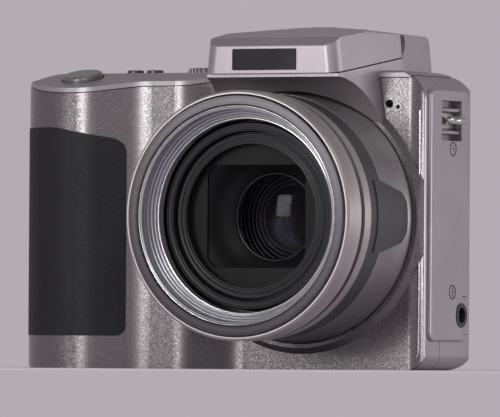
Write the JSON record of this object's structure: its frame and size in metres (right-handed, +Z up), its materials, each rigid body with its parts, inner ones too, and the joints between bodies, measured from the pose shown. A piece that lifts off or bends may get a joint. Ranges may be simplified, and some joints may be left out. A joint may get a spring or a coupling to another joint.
{
  "type": "bridge camera",
  "caption": "Compact silver bridge camera with a rubber grip, a folding flash over the finder hump, a large ringed zoom lens and an electronic finder.",
  "frame": {"origin": "centre of the tripod socket's mouth on the base plane, straight below the lens axis", "axes": "+X to the right of someone looking at the lens, +Y to the back of the camera, +Z up"},
  "size_m": [0.1066, 0.073, 0.0772],
  "materials": {
    "sparkle_silver": "metallic paint",
    "matte_silver": "satin paint",
    "grip_rubber": "pebbled",
    "black_plastic": "matt",
    "black_gloss": "gloss",
    "gunmetal": "turned",
    "pale_metal": "satin",
    "champagne": "anodised",
    "charcoal": "satin",
    "satin_skirt": "satin paint",
    "button_grey": "satin",
    "glass": "coated",
    "clear_plastic": "ribbed",
    "screen_cover": "gloss",
    "bright_metal": "bright",
    "chrome_strip": "dark chrome",
    "board_green": "matt",
    "cell_wrap": "printed wrap",
    "card_blue": "matt"
  },
  "bodies": {
    "body": {"front_shell": "sparkle_silver", "middle_shell": "matte_silver", "rear_shell": "matte_silver", "top_cover": "matte_silver", "base_plate": "matte_silver", "grip_pad": "grip_rubber", "side_plate": "matte_silver", "case_screws": "bright_metal", "strap_lugs": "bright_metal", "dc_jack": "black_plastic", "self_timer_lamp": "clear_plastic", "microphone": "bright_metal", "front_ring": "gunmetal", "ring_sleeve": "gunmetal", "thread_ring": "pale_metal", "barrel_band": "champagne", "badge_ring": "charcoal", "lens_skirt": "satin_skirt", "lens_chassis": "black_plastic", "image_sensor": "pale_metal", "flash_hinge_pin": "bright_metal", "screen_window": "screen_cover", "screen_module": "black_plastic", "main_board": "board_green", "finder_housing": "black_plastic", "eyecup": "grip_rubber", "eyepiece_lens": "glass", "finder_display": "black_plastic", "battery_box": "black_plastic", "battery_cells": "cell_wrap", "card_slot": "bright_metal", "memory_card": "card_blue", "tripod_socket": "bright_metal"},
    "flash_lid": {"flash_head": "matte_silver", "badge_blank": "chrome_strip", "flash_window": "clear_plastic", "flash_reflector": "bright_metal"},
    "shutter_button": {"shutter_button": "button_grey"},
    "flash_mode_button": {"flash_mode_button": "button_grey"},
    "focus_mode_button": {"focus_mode_button": "button_grey"},
    "mode_dial": {"mode_dial": "button_grey"},
    "cam_ring": {"cam_ring": "gunmetal"},
    "zoom_outer": {"zoom_barrel_outer": "black_plastic"},
    "zoom_inner": {"zoom_barrel_inner": "black_plastic", "lens_mask": "black_plastic", "front_lens": "glass", "middle_lens": "glass", "shutter_unit": "black_plastic"},
    "focus_group": {"focus_lens": "glass", "focus_cell": "black_plastic"},
    "zoom_rocker": {"zoom_rocker": "button_grey"},
    "joystick_ring": {"joystick_gimbal": "black_plastic"},
    "joystick": {"joystick_cap": "button_grey"},
    "menu_button": {"menu_button": "button_grey"},
    "review_button": {"review_button": "button_grey"},
    "delete_button": {"delete_button": "button_grey"},
    "share_button": {"share_button": "button_grey"},
    "battery_door": {"battery_door": "matte_silver"},
    "battery_latch": {"battery_latch": "black_plastic"}
  },
  "joints": [
    {"name": "flash_hinge", "type": "hinge", "parent": "body", "child": "flash_lid", "pos_m": [0, -0.0062, 0.0739], "axis": [-1, 0, 0], "range_deg": [0, 65]},
    {"name": "shutter_press", "type": "slide", "parent": "body", "child": "shutter_button", "axis": [0, 0.2588, -0.9659], "range_m": [0, 0.0008], "stiffness_N_per_m": 400, "springref_m": -0.001},
    {"name": "flash_mode_press", "type": "slide", "parent": "body", "child": "flash_mode_button", "axis": [0, 0, -1], "range_m": [0, 0.0005], "stiffness_N_per_m": 400, "springref_m": -0.001},
    {"name": "focus_mode_press", "type": "slide", "parent": "body", "child": "focus_mode_button", "axis": [0, 0, -1], "range_m": [0, 0.0005], "stiffness_N_per_m": 400, "springref_m": -0.001},
    {"name": "mode_dial_turn", "type": "hinge", "parent": "body", "child": "mode_dial", "pos_m": [-0.0295, 0.0043, 0.067], "axis": [0, 0, 1], "continuous": true},
    {"name": "cam_ring_turn", "type": "hinge", "parent": "body", "child": "cam_ring", "pos_m": [0, -0.02, 0.034], "axis": [0, -1, 0], "range_deg": [0, 100]},
    {"name": "outer_barrel_slide", "type": "slide", "parent": "body", "child": "zoom_outer", "axis": [0, -1, 0], "range_m": [0, 0.013]},
    {"name": "inner_barrel_slide", "type": "slide", "parent": "zoom_outer", "child": "zoom_inner", "axis": [0, -1, 0], "range_m": [0, 0.007]},
    {"name": "focus_slide", "type": "slide", "parent": "body", "child": "focus_group", "axis": [0, -1, 0], "range_m": [0, 0.002]},
    {"name": "zoom_rocker_tilt", "type": "hinge", "parent": "body", "child": "zoom_rocker", "pos_m": [-0.052, 0.0131, 0.057], "axis": [0, 0, 1], "range_deg": [-5, 5], "stiffness_Nm_per_rad": 0.02},
    {"name": "joystick_tilt_up_down", "type": "hinge", "parent": "body", "child": "joystick_ring", "pos_m": [-0.038, 0.011, 0.037], "axis": [1, 0, 0], "range_deg": [-8, 8], "stiffness_Nm_per_rad": 0.01},
    {"name": "joystick_tilt_sideways", "type": "hinge", "parent": "joystick_ring", "child": "joystick", "pos_m": [-0.038, 0.011, 0.037], "axis": [0, 0, 1], "range_deg": [-8, 8], "stiffness_Nm_per_rad": 0.01},
    {"name": "menu_press", "type": "slide", "parent": "body", "child": "menu_button", "axis": [0, -1, 0], "range_m": [0, 0.0005], "stiffness_N_per_m": 400, "springref_m": -0.001},
    {"name": "review_press", "type": "slide", "parent": "body", "child": "review_button", "axis": [0, -1, 0], "range_m": [0, 0.0005], "stiffness_N_per_m": 400, "springref_m": -0.001},
    {"name": "delete_press", "type": "slide", "parent": "body", "child": "delete_button", "axis": [0, -1, 0], "range_m": [0, 0.0005], "stiffness_N_per_m": 400, "springref_m": -0.001},
    {"name": "share_press", "type": "slide", "parent": "body", "child": "share_button", "axis": [0, -1, 0], "range_m": [0, 0.0005], "stiffness_N_per_m": 400, "springref_m": -0.001},
    {"name": "battery_door_hinge", "type": "hinge", "parent": "body", "child": "battery_door", "pos_m": [-0.0442, -0.0056, 0.0007], "axis": [0, -1, 0], "range_deg": [0, 100]},
    {"name": "battery_latch_slide", "type": "slide", "parent": "battery_door", "child": "battery_latch", "axis": [1, 0, 0], "range_m": [0, 0.0015], "stiffness_N_per_m": 200, "springref_m": -0.001}
  ],
  "couplings": [
    {"joint": "outer_barrel_slide", "follows": "cam_ring_turn", "m_per_rad": 0.0074484},
    {"joint": "inner_barrel_slide", "follows": "cam_ring_turn", "m_per_rad": 0.0040107}
  ]
}
